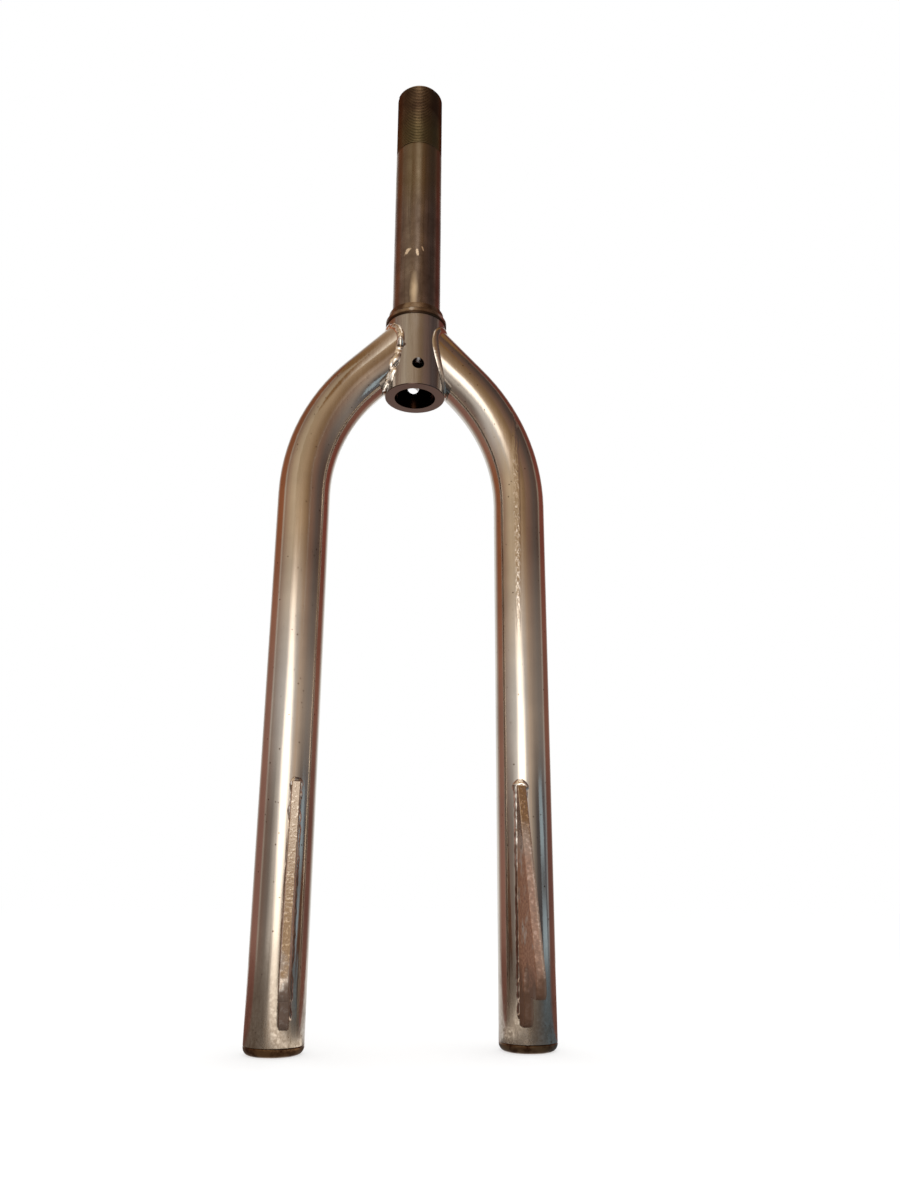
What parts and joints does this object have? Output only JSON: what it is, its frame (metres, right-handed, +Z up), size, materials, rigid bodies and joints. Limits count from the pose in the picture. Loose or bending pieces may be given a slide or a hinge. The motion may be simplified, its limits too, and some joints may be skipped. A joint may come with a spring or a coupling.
{
  "type": "bicycle fork",
  "caption": "Rigid steel bicycle fork for a small wheel: threaded steerer, bent tube legs welded to its base, capped feet and slotted axle plates ahead of the legs.",
  "frame": {"origin": "on the steering axis, at the face of the thick base that the crown race sits on", "axes": "+Z up along the steering axis, -Y to the front, where the axle plates stand, +X to the right-hand leg as seen from the front of the fork"},
  "size_m": [0.1334, 0.0621, 0.5041],
  "materials": {
    "steerer_steel": "dull used chrome plating, bare and brown along the thread",
    "race_steel": "turned hard steel with a dull shine",
    "leg_chrome": "bright chrome plating with small pits",
    "cap_steel": "thin, brownish chrome plating",
    "plate_chrome": "chrome plating over rough cut edges",
    "weld_chrome": "chrome plating over rippled weld beads"
  },
  "bodies": {
    "root": {"steerer_tube": "steerer_steel", "crown_race": "race_steel", "leg_left": "leg_chrome", "leg_right": "leg_chrome", "foot_cap_left": "cap_steel", "foot_cap_right": "cap_steel", "dropout_left": "plate_chrome", "dropout_right": "plate_chrome", "crown_weld_left": "weld_chrome", "crown_weld_right": "weld_chrome", "dropout_weld_left": "weld_chrome", "dropout_weld_right": "weld_chrome"}
  },
  "joints": []
}
